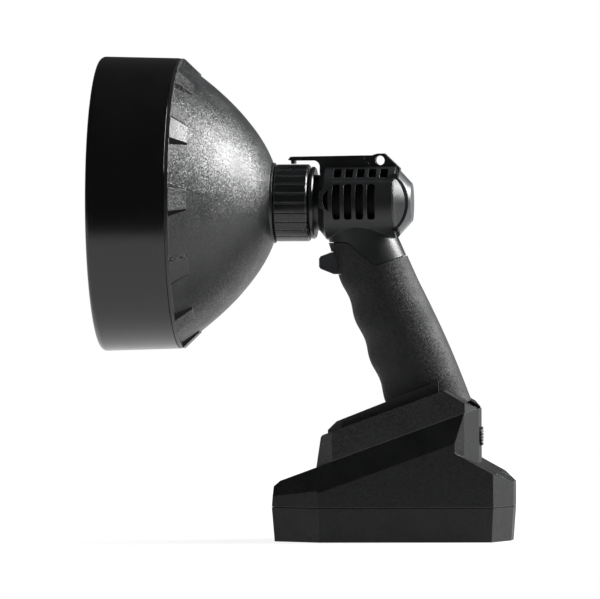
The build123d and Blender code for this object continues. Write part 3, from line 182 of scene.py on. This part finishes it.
# Battery cells, straps, board and leads
# Eight round cells in shrink film, joined by spot-welded nickel straps to a small green board.
# Printed film is glossy and soft at its folds, nickel has bright rolling lines, and the board is lacquered.
noise_low, noise_high = 0.3, 0.7
# Edges are painted lighter, partly as wear and partly as painted highlight, and are polished a little.
edge_starts, edge_full = 0.985, 0.86
edge_wear_and_highlight, edge_polish = 0.55, 0.4
shade_change = 0.18
# Painted shade on the housing's tab flanks: where it starts, and how dark and how dull the flanks are made.
flank_full, flank_starts = 0.82, 0.95
end_face, side_face = 0.2, 0.4
painted_flank_shade, shaded_flank_shine = "060606", 0.12


def spread(tree, noise, middle, change):
    """A value that follows a noise from below the middle to above it."""
    return add(tree, "MapRange", {"Value": noise, "From Min": noise_low, "From Max": noise_high,
                                  "To Min": middle - change, "To Max": middle + change})


def moulding(name, shade, roughness, grain, depth, edge=0.5, cloud=14, uneven=0.06, ior=1.5, wear_and_highlight_tone="5a5c5e",
             sparkle=0.0, shine=0.5, lamp_axis=None):
    """Moulded plastic or rubber, of which most of the lamp is made. Each tool leaves its own grain, and every
    edge is a little rounded and painted towards a lighter edge tone, partly as wear and partly as a painted
    highlight; together they draw the thin bright lines round the facets. Sizes are in millimetres: grain is
    its spacing, depth its height, edge the rounding of its edges and cloud the size of the patches where the
    gloss changes. sparkle is how far the small flat faces of a coarse grain lean, each its own way. shine is
    the strength of the reflections, 0.5 by nature and less where the photograph is darker than that.
    Where the height of the lamp's axis is given, the flanks that stand across the round form are painted dark
    and dull as shade, because the photograph shows them so."""
    material, tree = new_material(name)
    where = add(tree, "TexCoord").outputs["Object"]
    pits = add(tree, "TexNoise", {"Vector": where, "Scale": 1 / (grain * MM), "Detail": 2.0,
                                  "Roughness": 0.55})
    patches = add(tree, "TexNoise", {"Vector": where, "Scale": 1 / (cloud * MM), "Detail": 3.0})
    rounded = add(tree, "Bevel", {"Radius": edge * MM}, samples=4)
    bumps = add(tree, "Bump", {"Height": pits.outputs[0], "Distance": depth * MM, "Strength": 1.0,
                               "Normal": rounded.outputs[0]})
    if sparkle:
        faces = add(tree, "TexVoronoi", {"Vector": where, "Scale": 1 / (grain * MM)})
        lean = add(tree, "VectorMath", {0: faces.outputs["Color"], 1: (0.5, 0.5, 0.5)}, operation="SUBTRACT")
        leaned = add(tree, "VectorMath", {0: lean.outputs[0], "Scale": 2 * sparkle}, operation="SCALE")
        tilted = add(tree, "VectorMath", {0: bumps.outputs[0], 1: leaned.outputs[0]}, operation="ADD")
        bumps = add(tree, "VectorMath", {0: tilted.outputs[0]}, operation="NORMALIZE")
    flat = add(tree, "NewGeometry").outputs["True Normal"]
    bend = add(tree, "VectorMath", {0: rounded.outputs[0], 1: flat}, operation="DOT_PRODUCT")
    # Edges are painted towards the lighter edge tone, partly as wear and partly as painted highlight.
    wear_and_highlight_edge = add(tree, "MapRange", {"Value": bend.outputs["Value"], "From Min": edge_starts,
                                 "From Max": edge_full, "To Max": edge_wear_and_highlight})
    dull = spread(tree, patches.outputs[0], roughness, uneven)
    tint = spread(tree, patches.outputs[0], 1, shade_change)
    base = add(tree, "VectorMath", {0: tone(shade)[:3], "Scale": tint.outputs[0]}, operation="SCALE")
    skin = add(tree, "Mix", {0: wear_and_highlight_edge.outputs[0], 6: base.outputs[0], 7: tone(wear_and_highlight_tone)}, data_type="RGBA")
    color, level = skin.outputs[2], shine
    # Painted shade: the flanks of the housing's tabs are made dark and dull where shade falls on them.
    if lamp_axis:
        outward = add(tree, "VectorMath", {0: where, 1: (0, 0, -lamp_axis * MM)}, operation="ADD")
        spokes = [add(tree, "VectorMath", {0: way, 1: (0, 1, 1)}, operation="MULTIPLY")
                  for way in (outward.outputs[0], flat)]
        units = [add(tree, "VectorMath", {0: spoke.outputs[0]}, operation="NORMALIZE") for spoke in spokes]
        meet = add(tree, "VectorMath", {0: units[0].outputs[0], 1: units[1].outputs[0]},
                   operation="DOT_PRODUCT")
        steep = add(tree, "MapRange", {"Value": meet.outputs["Value"], "From Min": flank_starts,
                                       "From Max": flank_full})
        tall = add(tree, "VectorMath", {0: spokes[1].outputs[0]}, operation="LENGTH")
        upright = add(tree, "MapRange", {"Value": tall.outputs["Value"], "From Min": end_face,
                                         "From Max": side_face})
        flank_shade_mask = add(tree, "Math", {0: steep.outputs[0], 1: upright.outputs[0]}, operation="MULTIPLY")
        color = add(tree, "Mix", {0: flank_shade_mask.outputs[0], 6: color, 7: tone(painted_flank_shade)},
                    data_type="RGBA").outputs[2]
        level = add(tree, "MapRange", {"Value": flank_shade_mask.outputs[0], "To Min": shine,
                                       "To Max": shaded_flank_shine}).outputs[0]
    polish = add(tree, "Math", {0: wear_and_highlight_edge.outputs[0], 1: edge_polish}, operation="MULTIPLY")
    gloss = add(tree, "Math", {0: dull.outputs[0], 1: polish.outputs[0]}, operation="SUBTRACT")
    body = add(tree, "BsdfPrincipled", {"Base Color": color, "Roughness": gloss.outputs[0], "IOR": ior,
                                        "Specular IOR Level": level, "Normal": bumps.outputs[0]})
    add(tree, "OutputMaterial", {"Surface": body.outputs[0]})
    return material


line_stretch = 0.04
metal_change = 0.1


def metal(name, shade, roughness, line, depth, along=(1, 0, 0), uneven=0.05):
    """Machined or drawn metal with fine lines. line is their spacing in millimetres, and along is the
    direction in which the surface changes from line to line."""
    material, tree = new_material(name)
    where = add(tree, "TexCoord").outputs["Object"]
    stretch = tuple((1 if share else line_stretch) / (line * MM) for share in along)
    placed = add(tree, "VectorMath", {0: where, 1: stretch}, operation="MULTIPLY")
    lines = add(tree, "TexNoise", {"Vector": placed.outputs[0], "Scale": 1.0, "Detail": 3.0})
    bumps = add(tree, "Bump", {"Height": lines.outputs[0], "Distance": depth * MM, "Strength": 1.0})
    dull = spread(tree, lines.outputs[0], roughness, uneven)
    shades = spread(tree, lines.outputs[0], 1, metal_change)
    base = add(tree, "VectorMath", {0: tone(shade)[:3], "Scale": shades.outputs[0]}, operation="SCALE")
    body = add(tree, "BsdfPrincipled", {"Base Color": base.outputs[0], "Metallic": 1.0,
                                        "Roughness": dull.outputs[0], "Normal": bumps.outputs[0]})
    add(tree, "OutputMaterial", {"Surface": body.outputs[0]})
    return material


def dress(finish, *names):
    """Gives CAD nodes their finish."""
    for name in names:
        for place in nodes[name].material_slots:
            place.material = finish


dress(moulding("heat_shrunk_film", "2c5fa8", 0.28, 3.0, 0.05, edge=0.6), "battery_cells")
dress(metal("rolled_nickel_strip", "b9b6ae", 0.28, 0.35, 0.004), "cell_straps")
dress(moulding("lacquered_board_laminate", "1f6b34", 0.32, 0.8, 0.02, edge=0.2), "protection_board")
dress(moulding("pvc_lead_sleeving", "b01c1c", 0.38, 1.5, 0.02, edge=0.2), "pack_leads")
dress(metal("tinned_spring_brass", "cfae62", 0.26, 0.3, 0.004, along=(0, 1, 0)), "battery_contacts")


# Battery case
# Two deep trays of glass-filled nylon, moulded in one tool with spark-worn walls and joined at a seam by four
# screws from below. The spark texture scatters light evenly, so the walls read as flat satin black. Its grain
# is drawn 0.62 mm wide, coarser than the real one, so that the picture can show it.
case_black = moulding("spark_textured_nylon", "0c0d0e", 0.52, 0.62, 0.01, edge=0.8, sparkle=0.07,
                      wear_and_highlight_tone="4a4c4e", shine=0.36)
dress(case_black, "battery_upper_case", "battery_lower_case")
dress(metal("zinc_plated_screw", "a9abad", 0.3, 0.25, 0.004, along=(0, 1, 0)), "case_screws")


# Release button
# A small ribbed knob of acetal on a wire spring, at the back of the battery.
# Acetal is waxy: a soft broad sheen without any texture.
dress(moulding("waxy_acetal_knob", "232426", 0.36, 0.5, 0.01, edge=0.3), "release_button")
dress(metal("bright_spring_wire", "c4c4c2", 0.22, 0.3, 0.003), "button_spring", "trigger_spring")


# Shoe and foot
# The foot of the pistol handle: a low tier and a wide shoe of the same textured nylon, with brass contacts
# underneath. The shoe comes from a finer tool, so it is a shade smoother than the battery, but its grain is
# drawn as coarsely.
shoe_black = moulding("fine_textured_nylon", "0f1011", 0.44, 0.62, 0.01, edge=0.8, sparkle=0.07,
                      wear_and_highlight_tone="5a5c5e")
dress(shoe_black, "shoe")
dress(moulding("plain_moulded_nylon_tier", "1d1e1f", 0.48, 0.62, 0.01, edge=0.7, sparkle=0.07), "foot_tier")
dress(metal("zinc_plated_shoe_screw", "a4a6a8", 0.32, 0.25, 0.004, along=(0, 1, 0)), "shoe_screws")
dress(metal("spring_brass_contact", "d0b066", 0.24, 0.3, 0.004, along=(0, 1, 0)), "shoe_contacts")


# Handle shells
# Two halves of glass-filled nylon that meet on the middle plane, held by four steel screws in their bosses.
# Smoother than the battery: a clear sheen runs along the throat and the back edge. Here too the grain is
# drawn coarser than it is.
shell_black = moulding("satin_nylon_shell", "1f2021", 0.37, 0.62, 0.01, edge=0.6, sparkle=0.03,
                       shine=0.4)
dress(shell_black, "body_shell_near", "body_shell_far")
dress(metal("blackened_steel_screw", "55565a", 0.36, 0.25, 0.004, along=(0, 0, 1)), "shell_screws")


# Grip sleeve
# A soft rubber overmould with finger grooves, over the handle core below the angled seam.
# Its grain is a fine leathery stipple, too fine to show at true size, so it is drawn 0.62 mm wide as well.
grip_rubber = moulding("stippled_grip_rubber", "121314", 0.66, 0.62, 0.02, edge=0.7, sparkle=0.15)
dress(grip_rubber, "grip_sleeve")


# Trigger and switch
# A finger trigger of black acetal that slides in the front of the handle and presses a small sealed switch.
# The acetal is wiped smooth by fingers, the switch body is a plain dull moulding with a red plunger.
dress(moulding("polished_acetal_trigger", "242528", 0.36, 0.6, 0.008, edge=0.8), "trigger")
dress(moulding("switch_phenolic", "2b2b2e", 0.5, 0.5, 0.02, edge=0.3), "switch_body")
dress(moulding("red_nylon_plunger", "8c2018", 0.35, 0.5, 0.01, edge=0.2), "switch_plunger")


# Wiring and bulb
# Silicone leads from the shoe to the switch and to a ceramic block, and a small halogen bulb on an aluminium
# tube. The ceramic is dry and chalky, the quartz bulb clear, and the tungsten coil dull grey.
ripple_width, dust_width = 22, 2.5
dust_starts, dust_full = 0.55, 0.85
dust_roughness = 0.14


def clear(name, shade, ior, ripple):
    """Clear glass or plastic, with the faint ripple of its making and a little dust on it."""
    material, tree = new_material(name)
    where = add(tree, "TexCoord").outputs["Object"]
    waves = add(tree, "TexNoise", {"Vector": where, "Scale": 1 / (ripple_width * MM), "Detail": 1.0})
    dust = add(tree, "TexNoise", {"Vector": where, "Scale": 1 / (dust_width * MM), "Detail": 4.0,
                                  "Roughness": 0.7})
    bumps = add(tree, "Bump", {"Height": waves.outputs[0], "Distance": ripple * MM, "Strength": 1.0})
    dull = add(tree, "MapRange", {"Value": dust.outputs[0], "From Min": dust_starts, "From Max": dust_full,
                                  "To Max": dust_roughness})
    body = add(tree, "BsdfPrincipled", {"Base Color": tone(shade), "Roughness": dull.outputs[0], "IOR": ior,
                                        "Transmission Weight": 1.0, "Normal": bumps.outputs[0]})
    add(tree, "OutputMaterial", {"Surface": body.outputs[0]})
    return material


dress(moulding("silicone_lead_sleeving", "7a1512", 0.48, 1.2, 0.02, edge=0.2), "supply_leads", "lamp_leads")
dress(moulding("glass_braid_sleeving", "d8d4c8", 0.7, 0.6, 0.06, edge=0.2, wear_and_highlight_tone="f0ece0"), "bulb_leads")
dress(moulding("unglazed_steatite", "ddd8ca", 0.62, 0.5, 0.02, edge=0.4, wear_and_highlight_tone="f2eee4"),
      "terminal_block", "bulb_base")
dress(metal("turned_aluminium_tube", "c2c3c6", 0.28, 0.4, 0.008), "bulb_tube")
dress(clear("fused_quartz", "f8f8f8", 1.46, 0.01), "bulb_glass")
dress(metal("coiled_tungsten", "8d8a84", 0.42, 0.2, 0.01), "bulb_filament")


# Barrel liner, neck and seals
# A black-coated steel liner shows through the cooling slots of the barrel, and an anodised sleeve carries the
# head. Anodising is matt and slightly warm, the seal rubber is dull, and the ring behind the collar is satin.
dress(moulding("stove_enamelled_liner", "050506", 0.8, 0.6, 0.02, edge=0.3, wear_and_highlight_tone="08080a"), "vent_liner")
dress(metal("black_anodised_aluminium", "3a3a3d", 0.34, 0.4, 0.006), "neck_sleeve")
dress(moulding("greased_nitrile", "101011", 0.25, 1.0, 0.01, edge=0.2), "neck_oring")
dress(moulding("satin_acetal_ring", "1a1b1c", 0.22, 0.6, 0.008, edge=0.35), "collar_stop_ring")


# Vent baffle
# A guess, because the photograph shows no such piece: a thin enamelled steel strip on the liner in the middle
# plane, with a flap behind it. It keeps light from shining across the barrel and out of the upper vents,
# which are black in the photograph.
baffle_side = [(-41.0, 18.1), (-9.0, 18.1), (-9.0, 14.0), (-1.4, 14.0), (-1.4, 19.8), (-41.0, 19.8)]
baffle_half_thickness = 0.5
baffle_bevel = 0.12
axis_height = 206.0


def baffle(form):
    """The strip's outline in side view, given as places along the lamp and above its axis, made solid."""
    sides = [[form.verts.new((x * MM, y * MM, (axis_height + rise) * MM)) for x, rise in baffle_side]
             for y in (-baffle_half_thickness, baffle_half_thickness)]
    count = len(baffle_side)
    for n in range(count):
        form.faces.new((sides[0][n], sides[0][(n + 1) % count], sides[1][(n + 1) % count], sides[1][n]))
    form.faces.new(sides[0])
    form.faces.new(sides[1][::-1])
    bmesh.ops.bevel(form, geom=form.edges[:], offset=baffle_bevel * MM, segments=2, affect="EDGES",
                    clamp_overlap=True)


vent_baffle = mesh_piece("vent_baffle", baffle)
vent_baffle.data.materials.append(moulding("enamelled_baffle_steel", "070708", 0.7, 0.6, 0.01, edge=0.2))
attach(vent_baffle, "handle")


# Detent arm, lanyard ear and rear cap
# One springy arm reaches over the collar, and its other end rises to the lanyard ear. The rear cap is a
# separate moulding in silver-grey nylon with a rubber seal and four lugs; its bevels take the rear light, and
# their edges are painted lighter as well, partly as wear and partly as painted highlight.
dress(moulding("satin_spine_nylon", "141516", 0.36, 0.7, 0.015, edge=0.5), "detent_arm", "lanyard_ear")
dress(moulding("silver_grey_nylon_cap", "3c3e41", 0.32, 0.8, 0.01, edge=0.6, wear_and_highlight_tone="8c8e90"), "rear_cap")
dress(moulding("cap_seal_rubber", "060607", 0.8, 0.8, 0.02, edge=0.2, wear_and_highlight_tone="0a0a0b", shine=0.08), "cap_seal")
dress(moulding("black_nylon_lug", "161718", 0.4, 0.6, 0.015, edge=0.3), "cap_lugs")


# Focus collar
# A ribbed ring of satin acetal that turns on the neck. Each rib is nearly flat and smooth from handling, and
# its edges are painted light, so it shows a faint line of light at its edges, part reflection and part
# painted highlight, and stays dark between them.
dress(moulding("satin_acetal_collar", "131415", 0.24, 0.6, 0.01, edge=0.6, wear_and_highlight_tone="8a8c8e"), "focus_collar")


# Lamp housing
# The bowl behind the reflector, moulded in black polycarbonate with a coarse leather grain that sparkles in
# the rear light. The grain is drawn 0.58 mm wide, about the finest that the picture still shows.
# The dark, dull flanks of the tabs on the bowl are painted shade.
housing_black = moulding("leather_grained_polycarbonate", "1c1d1e", 0.42, 0.58, 0.005, edge=0.6, ior=1.58,
                         sparkle=0.125, lamp_axis=axis_height)
dress(housing_black, "lamp_housing")
dress(metal("coated_mirror_aluminium", "e6e7e9", 0.05, 1.2, 0.0006, uneven=0.02), "reflector")
dress(moulding("lens_seal_silicone", "101112", 0.5, 0.8, 0.02, edge=0.3), "lens_seal")
dress(clear("toughened_float_glass", "f3f8f6", 1.52, 0.003), "front_lens")
dress(moulding("smooth_clamp_nylon", "18191a", 0.36, 0.7, 0.015, edge=0.4), "lens_clamp_ring")


# Rim cover and pane
# The slip-on front cover: a deep band of semi-gloss black ABS with a rounded front edge and a clear
# polycarbonate pane. The band is smooth, so its lower half mirrors the white table softly.
dress(moulding("semi_gloss_abs_band", "0b0b0c", 0.24, 1.0, 0.004, edge=0.5, uneven=0.02, ior=1.54,
               wear_and_highlight_tone="121314"), "rim_cover")
dress(clear("clear_polycarbonate", "f4f7f8", 1.58, 0.006), "cover_pane")


# Arrows on the battery's rear shelf
# Two small arrows that point the way the battery slides off, one each side of the release button.
# They are drawn in a smooth dark enamel that stands a hair above the textured shelf.
shelf_x, shelf_z, shelf_fall = 41.0, 54.0, math.radians(29)
arrow_start, arrow_end, arrow_side = 57.0, 70.0, 20.5
shaft_width, head_length, head_width = 2.2, 6.0, 8.0
arrow_root, arrow_wall, arrow_top, top_inset = -0.3, 0.09, 0.15, 0.8


def arrows(form):
    """A flat arrow on the sloping shelf, on each side, with its top edge drawn in a little."""
    outline = [(arrow_start, -shaft_width / 2), (arrow_end - head_length, -shaft_width / 2),
               (arrow_end - head_length, -head_width / 2), (arrow_end, 0),
               (arrow_end - head_length, head_width / 2), (arrow_end - head_length, shaft_width / 2),
               (arrow_start, shaft_width / 2)]
    for side in (-1, 1):
        rings = []
        for rise, inset in ((arrow_root, 1), (arrow_wall, 1), (arrow_top, top_inset)):
            ring = []
            for x, across in outline:
                z = shelf_z - (x - shelf_x) * math.tan(shelf_fall) + rise
                ring.append(form.verts.new((x * MM, (side * arrow_side + across * inset) * MM, z * MM)))
            rings.append(ring)
        count = len(outline)
        for low, high in zip(rings, rings[1:]):
            for n in range(count):
                form.faces.new((low[n], low[(n + 1) % count], high[(n + 1) % count], high[n]))
        form.faces.new(rings[-1])
        form.faces.new(rings[0][::-1])


slide_arrows = mesh_piece("slide_arrows", arrows)
slide_arrows.data.materials.append(moulding("smooth_enamel_fill", "08080a", 0.45, 0.8, 0.01, edge=0.2,
                                            wear_and_highlight_tone="141416"))
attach(slide_arrows, "battery")


# Colour view
view = bpy.context.scene.view_settings
view.view_transform = "Standard"
